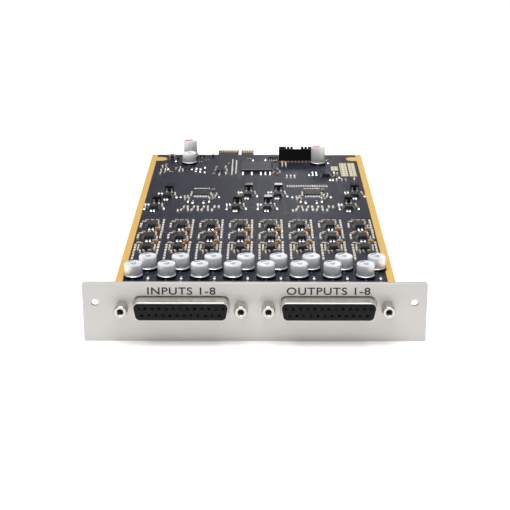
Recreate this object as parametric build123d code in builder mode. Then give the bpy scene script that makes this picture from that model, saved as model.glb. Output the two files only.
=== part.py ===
from build123d import *
import os

# An eight-channel microphone preamp card: a narrow front panel with two 25-way sockets,
# and one long circuit board that plugs into its host at the back.
# Origin: midway between the two panel screws, on the panel's front face.
# X runs along the panel, Y runs back along the board, Z is up.

os.makedirs("parts", exist_ok=True)

# ---------------------------------------------------------------- driving dimensions, mm

# front panel
panel_width = 135.6
panel_height = 24.8
panel_thickness = 1.5
panel_corner = 1.0
panel_top = 8.4                 # above the screw line
panel_screw_spacing = 126.0
panel_screw_hole = 2.8

# 25-way sockets
socket_spacing = 57.8           # between the two sockets' centres
socket_drop = 1.6               # socket centre line below the screw line
shell_width = 38.4
shell_height = 7.9
shell_corner = 2.4
shell_wall = 0.45
shell_reach = 5.8               # in front of the panel
side_lean = 10.0                # degrees, of the D's two sides
cutout_gap = 0.6                # panel to shell, all round
flange_width = 53.0
flange_height = 12.4
flange_sheet = 0.5
insulator_proud = 0.4           # in front of the shell
insulator_gap = 0.05
insulator_flange = 2.5
body_width = 39.0
body_depth = 4.0
body_rise = 5.0                 # above the socket centre line
comb_height = 1.5
contact_pitch = 2.76
contact_rows = 2.84
contacts_wide = 13
contacts_narrow = 12
contact_mouth = 0.55            # radius of the hole in the insulator's face
contact_barrel = 0.75           # radius
contact_bore = 0.5              # radius
contact_gap = 0.05
contact_inset = 1.0             # barrel's mouth behind the insulator's face
tail_wire = 0.5                 # square
tail_bend = 0.9
tail_first_row = 10.2           # behind the panel's front face
tail_reach = 1.2                # below the board

# jackscrews and the brackets they pull against
jackscrew_spacing = 47.04
jackscrew_flats = 4.76
jackscrew_reach = 6.2
jackscrew_thread = 1.35         # radius of its stud
jackscrew_bore = 1.2            # radius of its female thread
jackscrew_mouth = 0.25          # chamfer at the mouth of that thread
jackscrew_depth = 5.0
stud_tip = 0.3
thread_gap = 0.2
bracket_sheet = 0.8
bracket_width = 6.4
bracket_foot = 8.0
bracket_nut = 2.3               # radius
bracket_nut_length = 2.5
board_lock = 1.5                # radius
board_lock_slot = 0.8
board_lock_gap = 0.1

# circuit board
board_width = 120.0
board_front = 3.0
board_back = 241.2
board_thickness = 1.6
board_corner = 0.8
board_drop = 6.3                # its top below the socket centre line
plating = 0.06
guide_strip = 3.2
corner_pad_reach = 5.8
corner_pad_width = 7.4
corner_pad_centre = 9.0         # in from the back edge
back_strip = 1.0
back_strip_left = 3.0
back_strip_right = 20.0
tongue_length = 9.8
tongue_long = 11.5
tongue_key = 1.7
tongue_short = 7.0
tongue_start = -21.95
tongue_chamfer = 0.4
finger_pitch = 1.0
finger_width = 0.7
finger_length = 4.2
finger_inset = 1.0
pin_hole_gap = 0.15

# channels
channel_count = 8
channel_pitch = 14.3

# electrolytic capacitors
can_radius = 4.0
can_rise = 6.2                  # above the board
tall_can_rise = 10.2
can_base = 2 * can_radius + 0.3
can_base_height = 1.1
can_base_chamfer = 1.6
can_seat = 0.5                  # how far the can sinks into its base
can_edge = 0.45
can_bead = 0.22
can_bead_height = 1.75
can_gap = 0.05
can_lead_width = 0.8
can_lead_sheet = 0.2
can_lead_reach = 0.9
front_row = 48.6
row_gap = 1.1                   # between the bases of the two rows
back_row = front_row + can_base + row_gap
front_stagger = -2.5            # of the front row, from the channels' centre lines
back_stagger = 3.0

# leaded chips: body across its leads, body along its leads, height
standoff = 0.12
lead_sheet = 0.2
mould_draft = 6.0
small_outline = (3.9, 4.9, 1.7)
small_outline_pitch = 1.27
small_outline_reach = 1.05
small_outline_lead = 0.42
amplifier_row = 84.5
gain_row = 98.6
driver_row = 115.0
relay_body = (3.9, 4.4, 3.0)
relay_pitch = 2.54
relay_reach = 1.3
relay_lead = 0.9
relay_driver_gap = 10.8
relay_driver_shift = -0.6
converter_body = (9.0, 8.0, 1.1)
converter_pitch = 0.8
converter_reach = 1.6
converter_lead = 0.32
converter_x = (-28.4, 29.2)
converter_y = 167.3
control_side = 17.0
control_height = 1.2
control_edge = 0.25
control_ball_pitch = 1.0
control_ball_rows = 16
control_ball = 0.25             # radius
control_ball_height = 0.35
control_x = 0.0
control_inset = 26.4            # its centre from the board's back edge
memory_body = (5.3, 5.3, 1.7)
memory_pitch = 1.27
memory_reach = 1.2
transistor_body = (1.3, 2.9, 1.0)
transistor_pitch = 1.9
transistor_reach = 0.55
transistor_lead = 0.4

# plain chips: length, width, height
ceramic = (1.6, 0.8, 0.8)
resistor = (1.6, 0.8, 0.45)
pale_chip = (2.0, 1.0, 0.55)
coupling_resistor = (2.8, 1.0, 0.55)
small_resistor = (1.0, 0.5, 0.35)
inductor = (3.3, 3.0, 2.5)
tantalum = (2.4, 1.5, 1.4)
pale_step = 3.5

# power header
header_pitch = 2.0
header_columns = 8
header_length = 20.6
header_depth = 5.8
header_rise = 6.4
header_wall = 0.9
header_floor = 1.8
header_key = 4.6
header_slit = 0.6
header_slits = (-5.9, -4.0, 4.0, 6.0)
header_slit_depth = 1.1
header_pin = 0.5
header_pin_top = 5.6
header_pin_tail = 1.2
header_gap = 0.05
header_x = 23.0
header_inset = 8.6              # its centre from the board's back edge
header_pad_inset = 14.6
header_pad_width = 1.0
header_pad_length = 2.4

# bare pads and solder
heat_pad_width = 3.9
heat_pad_length = 26.0
heat_pad_short = 8.0
test_pad = 1.7                  # radius
solder_spread = 0.35            # past the edge of each hole

# ---------------------------------------------------------------- levels and shared planes

socket_level = -socket_drop
board_top = socket_level - board_drop
board_under = board_top - board_thickness
panel_middle = panel_top - panel_height / 2
socket_centres = (-socket_spacing / 2, socket_spacing / 2)
channel_centres = [channel_pitch * (k - (channel_count - 1) / 2) for k in range(channel_count)]
jackscrew_centres = [c + s * jackscrew_spacing / 2 for c in socket_centres for s in (-1, 1)]
flange_back = panel_thickness + flange_sheet
insulator_back = flange_back + insulator_flange
body_back = insulator_back + body_depth
tail_rows = (tail_first_row, tail_first_row + contact_rows)
board_middle = (board_front + board_back) / 2


def across(depth):
    """The upright plane at this depth behind the panel's front face, drawn as seen from the front."""
    return Plane.XZ.offset(-depth)


def on_board(x, y, turn=0):
    """A place on the board's upper face, turned about the upright."""
    return Location((x, y, board_top), (0, 0, turn))


def near_back(x, inset, turn=0):
    """A place on the board's upper face, given from the board's back edge."""
    return on_board(x, board_back - inset, turn)


def save(part, name):
    """Label one finished sub-part and write its STEP file."""
    part.label = name
    export_step(part, "parts/" + name + ".step")


def copies(piece, places):
    """The same piece at each of these places, as separate solids."""
    with BuildPart() as group:
        with Locations(*places):
            add(piece)
    return group.part


# ---------------------------------------------------------------- front panel

def d_outline(width, height, corner):
    """A D-shaped profile about its centre, wide side up, with leaning sides and round corners."""
    with BuildSketch() as outline:
        Trapezoid(width, height, 90 - side_lean, rotation=180)
        fillet(outline.vertices(), corner)
    return outline.sketch


shell_outline = d_outline(shell_width, shell_height, shell_corner)
bore_outline = d_outline(shell_width - 2 * shell_wall, shell_height - 2 * shell_wall,
                         shell_corner - shell_wall)
cutout_outline = d_outline(shell_width + 2 * cutout_gap, shell_height + 2 * cutout_gap,
                           shell_corner + cutout_gap)
socket_places = [(x, socket_level) for x in socket_centres]
jackscrew_places = [(x, socket_level) for x in jackscrew_centres]

with BuildPart() as front_panel:
    with BuildSketch(across(0)):
        with Locations((0, panel_middle)):
            RectangleRounded(panel_width, panel_height, panel_corner)
        with Locations(*socket_places):
            add(cutout_outline, mode=Mode.SUBTRACT)
        with Locations(*jackscrew_places):
            Circle(jackscrew_thread + thread_gap, mode=Mode.SUBTRACT)
        with GridLocations(panel_screw_spacing, 0, 2, 1):
            Circle(panel_screw_hole / 2, mode=Mode.SUBTRACT)
    extrude(amount=-panel_thickness)
save(front_panel.part, "front_panel")

# ---------------------------------------------------------------- 25-way sockets

contact_spots = [(contact_pitch * (k - (contacts_wide - 1) / 2), contact_rows / 2)
                 for k in range(contacts_wide)]
contact_spots += [(contact_pitch * (k - (contacts_narrow - 1) / 2), -contact_rows / 2)
                  for k in range(contacts_narrow)]
tail_spots = [(x, tail_rows[1] if z > 0 else tail_rows[0]) for x, z in contact_spots]
insulator_face = -shell_reach - insulator_proud
barrel_front = insulator_face + contact_inset
jack_pair = [(-jackscrew_spacing / 2, 0), (jackscrew_spacing / 2, 0)]


def shell(centre):
    """The drawn steel shell: a D-shaped tube and, behind the panel, its flange."""
    middle = Pos(centre, socket_level)
    with BuildPart() as piece:
        with BuildSketch(across(panel_thickness)):
            with Locations(middle):
                RectangleRounded(flange_width, flange_height, panel_corner)
                with Locations(*jack_pair):
                    Circle(jackscrew_thread + thread_gap, mode=Mode.SUBTRACT)
        extrude(amount=-flange_sheet)
        with BuildSketch(across(-shell_reach)):
            with Locations(middle):
                add(shell_outline)
        extrude(amount=-(shell_reach + flange_back))
        lip = piece.faces().sort_by(Axis.Y)[0].outer_wire().edges()
        fillet(lip, shell_wall * 0.7)
        with BuildSketch(across(-shell_reach)):
            with Locations(middle):
                add(bore_outline)
        extrude(amount=-(shell_reach + flange_back), mode=Mode.SUBTRACT)
    return piece.part


nose_outline = d_outline(shell_width - 2 * (shell_wall + insulator_gap),
                         shell_height - 2 * (shell_wall + insulator_gap),
                         shell_corner - shell_wall - insulator_gap)


def insulator(centre):
    """The moulded body that fills the shell, bored for 25 contacts, with its tail comb behind."""
    middle = Pos(centre, socket_level)
    body_height = body_rise + board_drop
    body_middle = (body_rise - board_drop) / 2
    with BuildPart() as piece:
        with BuildSketch(across(insulator_face)):
            with Locations(middle):
                add(nose_outline)
        extrude(amount=-(flange_back - insulator_face))
        chamfer(piece.faces().sort_by(Axis.Y)[0].outer_wire().edges(), insulator_proud * 0.6)
        with BuildSketch(across(flange_back)):
            with Locations(middle):
                RectangleRounded(flange_width, flange_height, panel_corner)
                with Locations(*jack_pair):
                    Circle(jackscrew_thread + thread_gap, mode=Mode.SUBTRACT)
        extrude(amount=-insulator_flange)
        with BuildSketch(across(insulator_back)):
            with Locations(middle):
                with Locations((0, body_middle)):
                    Rectangle(body_width, body_height)
        extrude(amount=-body_depth)
        comb_depth = tail_rows[1] + contact_rows / 2 - body_back
        with BuildSketch(Plane.XY.offset(board_top)):
            with Locations((centre, body_back + comb_depth / 2)):
                Rectangle(body_width, comb_depth)
            with Locations(*[(centre + x, y) for x, y in tail_spots]):
                Rectangle(tail_wire + 2 * contact_gap, tail_wire + 2 * contact_gap,
                          mode=Mode.SUBTRACT)
        extrude(amount=comb_height)
        with BuildSketch(across(insulator_face)):
            with Locations(middle):
                with Locations(*contact_spots):
                    Circle(contact_mouth)
        extrude(amount=-contact_inset, mode=Mode.SUBTRACT)
        with BuildSketch(across(barrel_front)):
            with Locations(middle):
                with Locations(*contact_spots):
                    Circle(contact_barrel + contact_gap)
        extrude(amount=-(body_back - barrel_front), mode=Mode.SUBTRACT)
        mouths = piece.edges().filter_by(GeomType.CIRCLE).group_by(Axis.Y)[0]
        chamfer(mouths, insulator_proud * 0.6)
    return piece.part


def contact(upper):
    """One turned socket contact and its square tail, bent down through the board."""
    height = socket_level + (contact_rows / 2 if upper else -contact_rows / 2)
    tail_row = tail_rows[1] if upper else tail_rows[0]
    with BuildPart() as piece:
        with BuildSketch(across(barrel_front)):
            with Locations((0, height)):
                Circle(contact_barrel)
        extrude(amount=-(body_back - barrel_front))
        with BuildSketch(across(barrel_front)):
            with Locations((0, height)):
                Circle(contact_bore)
        extrude(amount=-(shell_reach + panel_thickness), mode=Mode.SUBTRACT)
        with BuildLine(Plane.YZ) as route:
            FilletPolyline((body_back, height), (tail_row, height),
                           (tail_row, board_under - tail_reach), radius=tail_bend)
        with BuildSketch(across(body_back)):
            with Locations((0, height)):
                Rectangle(tail_wire, tail_wire)
        sweep(path=route.line)
    return piece.part


upper_contact = contact(True)
lower_contact = contact(False)


def contacts(centre):
    """All 25 contacts of one socket."""
    with BuildPart() as group:
        with Locations(*[(centre + x, 0, 0) for x, z in contact_spots if z > 0]):
            add(upper_contact)
        with Locations(*[(centre + x, 0, 0) for x, z in contact_spots if z < 0]):
            add(lower_contact)
    return group.part


def bracket(x):
    """One folded steel bracket with its clinched nut, foot and split board lock."""
    plate_height = flange_height / 2 + board_drop
    plate_middle = socket_level + (flange_height / 2 - board_drop) / 2
    foot_middle = insulator_back + bracket_foot / 2
    lock_bottom = board_under - tail_reach
    with BuildPart() as piece:
        with BuildSketch(across(insulator_back)):
            with Locations((x, plate_middle)):
                Rectangle(bracket_width, plate_height)
        extrude(amount=-bracket_sheet)
        with BuildSketch(across(insulator_back + bracket_sheet)):
            with Locations((x, socket_level)):
                Circle(bracket_nut)
        extrude(amount=-bracket_nut_length)
        with BuildSketch(across(insulator_back)):
            with Locations((x, socket_level)):
                Circle(jackscrew_thread)
        extrude(amount=-(bracket_sheet + bracket_nut_length), mode=Mode.SUBTRACT)
        with BuildSketch(Plane.XY.offset(board_top)):
            with Locations((x, foot_middle)):
                Rectangle(bracket_width, bracket_foot)
        extrude(amount=bracket_sheet)
        with BuildSketch(Plane.XY.offset(lock_bottom)):
            with Locations((x, foot_middle)):
                Circle(board_lock)
                Rectangle(board_lock_slot, 2 * board_lock, mode=Mode.SUBTRACT)
        extrude(amount=board_top - lock_bottom)
    return piece.part


def brackets(centre):
    """The pair of brackets behind one socket."""
    return copies(bracket(0), [(centre + x, 0, 0) for x, z in jack_pair])


for name, centre in (("input", socket_centres[0]), ("output", socket_centres[1])):
    save(shell(centre), name + "_socket_shell")
    save(insulator(centre), name + "_socket_insulator")
    save(contacts(centre), name + "_socket_contacts")
    save(brackets(centre), name + "_socket_brackets")

# ---------------------------------------------------------------- jackscrews

hex_reach = -jackscrew_reach
stud_length = insulator_back + bracket_sheet + bracket_nut_length
with BuildPart() as jackscrew:
    with BuildSketch(across(hex_reach)):
        RegularPolygon(jackscrew_flats / 2, 6, major_radius=False)
    extrude(amount=-jackscrew_reach)
    with BuildSketch(across(hex_reach)):
        Circle(jackscrew_flats / 2 - 0.1)
    extrude(amount=-jackscrew_reach, taper=-30, mode=Mode.INTERSECT)
    with BuildSketch(across(0)):
        Circle(jackscrew_thread)
    extrude(amount=-stud_length)
    with BuildSketch(across(hex_reach)):
        Circle(jackscrew_bore)
    extrude(amount=-jackscrew_depth, mode=Mode.SUBTRACT)
    mouth = [edge for edge in jackscrew.edges().filter_by(GeomType.CIRCLE).group_by(Axis.Y)[0]
             if edge.radius < jackscrew_bore * 1.1]
    chamfer(mouth, jackscrew_mouth)
    chamfer(jackscrew.edges().filter_by(GeomType.CIRCLE).group_by(Axis.Y)[-1], stud_tip)
save(copies(jackscrew.part, [(x, 0, socket_level) for x in jackscrew_centres]), "jackscrews")

# ---------------------------------------------------------------- circuit board

tongue_back = board_back + tongue_length
tongue_blades = ((tongue_start, tongue_long), (tongue_start + tongue_long + tongue_key, tongue_short))
lock_y = insulator_back + bracket_foot / 2
pin_columns = [header_pitch * (k - (header_columns - 1) / 2) for k in range(header_columns)]
header_y = board_back - header_inset
header_spots = [(header_x + x, header_y + r * header_pitch / 2) for x in pin_columns for r in (-1, 1)]
tail_holes = [(c + x, y) for c in socket_centres for x, y in tail_spots]
lock_holes = [(x, lock_y) for x in jackscrew_centres]
tail_hole = tail_wire / 2 * 2 ** 0.5 + pin_hole_gap

with BuildPart() as circuit_board:
    with BuildSketch(Plane.XY.offset(board_under)):
        with Locations((0, board_middle)):
            RectangleRounded(board_width, board_back - board_front, board_corner)
        for start, width in tongue_blades:
            with Locations((start + width / 2, board_back + tongue_length / 2 - 1)):
                Rectangle(width, tongue_length + 2)
        with Locations(*lock_holes):
            Circle(board_lock + board_lock_gap, mode=Mode.SUBTRACT)
        with Locations(*(tail_holes + header_spots)):
            Circle(tail_hole, mode=Mode.SUBTRACT)
    extrude(amount=board_thickness)
    tips = circuit_board.edges().filter_by(Axis.X).group_by(Axis.Y)[-1]
    chamfer(tips, tongue_chamfer)
save(circuit_board.part, "circuit_board")

upper_face = Plane.XY.offset(board_top)
lower_face = Plane.XY.offset(board_under - plating)


def guide_strips(face):
    """The bare plated strips along both long edges, with a round-ended pad at each back corner."""
    length = board_back - board_front
    with BuildPart() as strips:
        with BuildSketch(face):
            for side in (-1, 1):
                with Locations((side * (board_width - guide_strip) / 2, board_middle)):
                    Rectangle(guide_strip, length - 2 * board_corner)
                pad_x = side * (board_width / 2 - (guide_strip + corner_pad_reach) / 2)
                with Locations((pad_x, board_back - corner_pad_centre)):
                    RectangleRounded(guide_strip + corner_pad_reach, corner_pad_width,
                                     corner_pad_width * 0.45)
            for side, width in ((-1, back_strip_left), (1, back_strip_right)):
                edge = side * (board_width / 2 - board_corner - width / 2)
                with Locations((edge, board_back - back_strip / 2)):
                    Rectangle(width, back_strip)
        extrude(amount=plating)
    return strips.part


with BuildPart() as edge_plating:
    add(guide_strips(upper_face))
    add(guide_strips(lower_face))
save(edge_plating.part, "edge_plating")

finger_back = tongue_back - finger_inset
finger_places = []
for start, width in tongue_blades:
    count = int((width - finger_width) / finger_pitch)
    middle = start + width / 2
    finger_places += [(middle + finger_pitch * (k - (count - 1) / 2), finger_back - finger_length / 2)
                      for k in range(count)]

with BuildPart() as edge_fingers:
    for face in (upper_face, lower_face):
        with BuildSketch(face):
            with Locations(*finger_places):
                Rectangle(finger_width, finger_length)
        extrude(amount=plating)
save(edge_fingers.part, "edge_fingers")

# ---------------------------------------------------------------- electrolytic capacitors

def can(rise):
    """A drawn aluminium can with a rolled bead and a rounded top, seated in its base."""
    bottom = can_base_height - can_seat
    with BuildPart() as piece:
        with BuildSketch(Plane.XY.offset(bottom)):
            Circle(can_radius)
        extrude(amount=rise - bottom)
        fillet(piece.edges().group_by(Axis.Z)[-1], can_edge)
        with BuildSketch(Plane.XZ) as groove:
            with Locations((can_radius, can_bead_height)):
                Circle(can_bead)
        revolve(axis=Axis.Z, mode=Mode.SUBTRACT)
    return piece.part


def can_foot():
    """The moulded base plate, two corners cut off on the plus side, dished for the can."""
    with BuildPart() as piece:
        with BuildSketch(Plane.XY.offset(can_lead_sheet)):
            Rectangle(can_base, can_base)
        extrude(amount=can_base_height - can_lead_sheet)
        chamfer(piece.edges().filter_by(Axis.Z).group_by(Axis.Y)[0], can_base_chamfer)
        with BuildSketch(Plane.XY.offset(can_base_height - can_seat)):
            Circle(can_radius + can_gap)
        extrude(amount=can_seat, mode=Mode.SUBTRACT)
    return piece.part


def can_lead():
    """One flat lead, from under the base out past its edge."""
    with BuildPart() as piece:
        with BuildSketch():
            with Locations((0, -(can_base / 2 + can_lead_reach) / 2 - can_lead_width / 2)):
                Rectangle(can_lead_width, can_base / 2 + can_lead_reach - can_lead_width)
        extrude(amount=can_lead_sheet)
    return piece.part


coupling_places = [on_board(x + front_stagger, front_row) for x in channel_centres]
coupling_places += [on_board(x + back_stagger, back_row) for x in channel_centres]
tall_places = [near_back(34.5, 18.2), near_back(-37.75, 5.2)]
short_places = [near_back(-37.75, 17.6)]
supply_places = tall_places + short_places
lead_places = [place * Location((0, 0, 0), (0, 0, turn))
               for place in coupling_places for turn in (0, 180)]
supply_lead_places = [place * Location((0, 0, 0), (0, 0, turn))
                      for place in supply_places for turn in (0, 180)]

save(copies(can(can_rise), coupling_places), "coupling_capacitor_cans")
save(copies(can_foot(), coupling_places), "coupling_capacitor_bases")
save(copies(can_lead(), lead_places), "coupling_capacitor_leads")
save(copies(can(tall_can_rise), tall_places), "tall_supply_capacitor_cans")
save(copies(can(can_rise), short_places), "short_supply_capacitor_can")
save(copies(can_foot(), supply_places), "supply_capacitor_bases")
save(copies(can_lead(), supply_lead_places), "supply_capacitor_leads")

# ---------------------------------------------------------------- leaded chips

def chip_body(size):
    """A moulded chip body: a straight band where the leads leave, drafted above and below."""
    across_leads, along_leads, height = size
    band_bottom = (standoff + height - lead_sheet) / 2
    with BuildPart() as piece:
        with BuildSketch(Plane.XY.offset(band_bottom)):
            Rectangle(across_leads, along_leads)
        extrude(amount=lead_sheet)
        with BuildSketch(Plane.XY.offset(band_bottom + lead_sheet)):
            Rectangle(across_leads, along_leads)
        extrude(amount=height - band_bottom - lead_sheet, taper=mould_draft)
        with BuildSketch(Plane.XY.offset(band_bottom)):
            Rectangle(across_leads, along_leads)
        extrude(amount=-(band_bottom - standoff), taper=mould_draft)
        with BuildSketch(Plane.XY.offset(height)):
            with Locations((across_leads * 0.32, along_leads * 0.36)):
                Circle(min(across_leads, along_leads) * 0.07)
        extrude(amount=-lead_sheet / 2, mode=Mode.SUBTRACT)
    return piece.part


def gull_lead(size, reach, width):
    """One bent lead: out of the body's band, down, and out flat on the board."""
    band_bottom = (standoff + size[2] - lead_sheet) / 2
    side = size[0] / 2
    shoulder = side + reach * 0.3
    ankle = side + reach * 0.5
    toe = side + reach
    with BuildPart() as piece:
        with BuildSketch(Plane.XZ.offset(-width / 2)):
            Polygon((side, band_bottom), (shoulder, band_bottom), (ankle, 0), (toe, 0),
                    (toe, lead_sheet), (ankle + lead_sheet, lead_sheet),
                    (shoulder + lead_sheet, band_bottom + lead_sheet),
                    (side, band_bottom + lead_sheet), align=None)
        extrude(amount=width)
    return piece.part


def lead_places_for(places, pitch, count, sides=(0, 180)):
    """Where the leads of chips at these places stand, a row of them on each side."""
    rows = [Location((0, 0, 0), (0, 0, turn)) * Location((0, pitch * (k - (count - 1) / 2), 0))
            for turn in sides for k in range(count)]
    return [place * row for place in places for row in rows]


def chip_kind(body_name, lead_name, size, places, pitch, count, reach, lead_width):
    """The bodies and the leads of every chip of one kind."""
    save(copies(chip_body(size), places), body_name)
    lead_spots = lead_places_for(places, pitch, count)
    save(copies(gull_lead(size, reach, lead_width), lead_spots), lead_name)


for name, row in (("preamp", amplifier_row), ("gain_switch", gain_row), ("line_driver", driver_row)):
    chip_kind(name + "_chips", name + "_leads", small_outline,
              [on_board(x, row) for x in channel_centres],
              small_outline_pitch, 4, small_outline_reach, small_outline_lead)

# photorelays and, in front of each, its driver chip
relay_spots = [(-45.4, 172.6), (-3.9, 174.6), (11.7, 174.6), (51.7, 174.6),
               (-50.7, 154.1), (-9.5, 154.1), (6.2, 154.1), (47.2, 154.1)]
relay_places = [on_board(x, y, 90) for x, y in relay_spots]
relay_driver_places = [on_board(x + relay_driver_shift, y - relay_driver_gap) for x, y in relay_spots]
chip_kind("photorelays", "photorelay_leads", relay_body, relay_places,
          relay_pitch, 2, relay_reach, relay_lead)
chip_kind("relay_driver_chips", "relay_driver_leads", small_outline, relay_driver_places,
          small_outline_pitch, 4, small_outline_reach, small_outline_lead)

chip_kind("converter_chips", "converter_leads", converter_body,
          [on_board(x, converter_y, 90) for x in converter_x],
          converter_pitch, 10, converter_reach, converter_lead)
chip_kind("memory_chip", "memory_chip_leads", memory_body, [near_back(9.3, 8.3, 90)],
          memory_pitch, 4, memory_reach, small_outline_lead)
chip_kind("regulator_chip", "regulator_leads", small_outline, [near_back(37.9, 41.2)],
          small_outline_pitch, 4, small_outline_reach, small_outline_lead)

# the control chip stands on a grid of solder balls
with BuildPart() as control_chip:
    with BuildSketch(Plane.XY.offset(board_top + control_ball_height)):
        with Locations((control_x, board_back - control_inset)):
            Rectangle(control_side, control_side)
    extrude(amount=control_height)
    chamfer(control_chip.faces().sort_by(Axis.Z)[-1].edges(), control_edge)
save(control_chip.part, "control_chip")

with BuildPart() as control_chip_balls:
    with BuildSketch(Plane.XY.offset(board_top)):
        with Locations((control_x, board_back - control_inset)):
            with GridLocations(control_ball_pitch, control_ball_pitch,
                               control_ball_rows, control_ball_rows):
                Circle(control_ball)
    extrude(amount=control_ball_height)
save(control_chip_balls.part, "control_chip_balls")


def small_transistor(places):
    """Three-legged transistors: their bodies, and their leads as separate solids."""
    save(copies(chip_body(transistor_body), places), "transistors")
    two = [p * Location((0, s * transistor_pitch / 2, 0)) for p in places for s in (-1, 1)]
    one = [p * Location((0, 0, 0), (0, 0, 180)) for p in places]
    lead = gull_lead(transistor_body, transistor_reach, transistor_lead)
    save(copies(lead, two + one), "transistor_leads")


small_transistor([near_back(-38.0, 30.6, 90), near_back(-44.6, 7.8), near_back(-31.0, 4.8, 90),
                  near_back(-24.9, 4.0), near_back(-20.0, 33.6, 90)])

# ---------------------------------------------------------------- plain chips

def chip_row(x, y, count, step_x, step_y, turn=0):
    """Places of a straight row of chips, from its first to its last."""
    return [(x + k * step_x, y + k * step_y, turn) for k in range(count)]


def chips(size, spots, name):
    """One kind of plain chip, each a block standing on the board."""
    length, width, height = size
    with BuildPart() as group:
        with Locations(*[on_board(x, y, turn) for x, y, turn in spots]):
            Box(length, width, height, align=(Align.CENTER, Align.CENTER, Align.MIN))
    save(group.part, name)


# every channel has the same chips, given here from the channel's centre line
channel_pale = (chip_row(-5.3, 113.7, 2, 0, pale_step, 90) + [(-4.2, 121.2, 0)]
                + chip_row(-5.3, 97.7, 2, 0, pale_step, 90) + [(-4.3, 104.3, 0)]
                + chip_row(-5.3, 70.0, 6, 0, pale_step, 90) + [(-4.1, 91.0, 0)]
                + chip_row(5.3, 112.1, 4, 0, pale_step, 90) + [(5.4, 108.6, 90)]
                + chip_row(5.3, 98.2, 3, 0, pale_step, 90) + [(5.4, 91.0, 90)]
                + chip_row(5.3, 77.0, 4, 0, pale_step, 90))
channel_ceramics = ([(-2.8, 122.8, 0), (-0.3, 122.8, 0), (2.2, 122.8, 0)]
                    + [(-3.1, 105.7, 0), (-0.5, 105.7, 0), (2.1, 105.7, 0)]
                    + [(-2.6, 89.4, 0), (2.1, 89.4, 0)]
                    + [(2.9, 120.0, 90), (3.75, 114.5, 90), (2.9, 103.6, 90), (3.75, 98.0, 90)]
                    + [(-3.75, 86.4, 90), (-3.7, 83.2, 85), (3.75, 86.8, 95), (3.7, 83.4, 90)]
                    + [(-2.6, 79.2, 100), (-1.0, 79.6, 110), (1.7, 80.4, 12)])
channel_resistors = ([(-0.9, 110.4, 90), (0.8, 110.4, 90), (-0.8, 94.0, 90), (0.8, 94.0, 90)]
                     + [(3.9, 46.7, 90), (3.9, 41.5, 90)])
channel_tantalums = [(3.3, 109.1, 0), (3.3, 91.9, 0)]


def every_channel(spots):
    """The same spots in each channel."""
    return [(centre + x, y, turn) for centre in channel_centres for x, y, turn in spots]


def every_relay(spots):
    """The same spots about each photorelay."""
    return [(rx + x, ry + y, turn) for rx, ry in relay_spots for x, y, turn in spots]


relay_resistors = [(-1.6, -15.6, 90), (-0.3, -15.6, 90), (-5.3, -5.2, 90), (-3.8, -5.2, 90),
                   (-5.3, -12.6, 90), (4.4, -12.0, 90)]
relay_ceramics = [(-5.2, -8.9, 90), (3.2, -6.2, 95), (3.4, -9.0, 105)]

# about each converter chip, given from its centre line
beside_converter = [(-5.2, 167.6, 90), (-5.3, 164.6, 90), (-6.8, 161.4, 80), (-6.2, 158.0, 100),
                    (-8.4, 160.6, 90), (-7.9, 157.2, 75), (4.4, 158.6, 95), (4.9, 166.4, 90),
                    (5.9, 163.4, 80), (6.5, 158.2, 60), (5.9, 172.9, 0), (7.8, 165.4, 90),
                    (7.4, 161.4, 80)]
lone_chips = [(-10.5, 161.0, 90), (-6.4, 153.5, 90), (9.3, 161.0, 90), (4.4, 153.5, 90)]
coupling_spots = [(-3.9, 152.2, 90), (1.7, 152.2, 90)]
terminator_spots = chip_row(-3.8, 175.4, 10, 0.85, 0, 90)
filter_row = 139.8
filter_back_row = 144.4
filter_legs = [(-8.9, -7.85), (-5.7, -6.0), (-3.75, -2.85), (-0.7, -0.9), (1.3, 2.15), (4.3, 4.1)]
filter_spots = [(-10.7, 138.8, 90), (6.4, 139.5, 90), (7.5, 144.7, 90), (9.6, 144.7, 90)]
for near, far in filter_legs:
    lean = 90 - 10 * (far - near)
    filter_spots += [(near, filter_row, lean), (far, filter_back_row, lean)]


def every_converter(spots):
    """The same spots about each converter chip."""
    return [(cx + x, y, turn) for cx in converter_x for x, y, turn in spots]


# supply filters and logic, given from the board's back edge
back_ceramics = ([(-52.5, 37.8, 80), (-50.1, 35.6, 70), (-52.6, 32.4, 95), (-50.4, 30.6, 90),
                  (-52.4, 24.6, 90), (-50.4, 21.8, 60), (-50.2, 26.4, 110)]
                 + [(-44.4, 28.8, 70), (-42.4, 27.6, 100), (-40.7, 32, 90), (-42.6, 32.8, 90)]
                 + [(-23.3, 39.6, 25), (-22.2, 26.8, 70), (-20.2, 40, 90), (-17, 25.8, 80),
                    (-16.8, 37.6, 90), (-22.4, 32.2, 60), (-16.4, 31.6, 100)]
                 + chip_row(-13.4, 13.6, 6, 0, 5.0, 90)
                 + chip_row(-11.2, 15.4, 5, 0, 5.2, 90)
                 + [(9.8, 36.6, 60), (11.4, 29.6, 120), (12.8, 34.8, 100), (11.9, 38.8, 30),
                    (14.5, 21.6, 90), (16.4, 21.6, 90), (14.5, 18.2, 90), (16.4, 18.2, 90)]
                 + chip_row(16.6, 44.6, 3, 2.1, 0, 90)
                 + [(42.6, 42.2, 60), (44.3, 38.6, 90), (43.3, 50, 90), (46, 50, 90),
                    (48.1, 49.8, 100), (52.9, 48.2, 90)])
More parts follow.
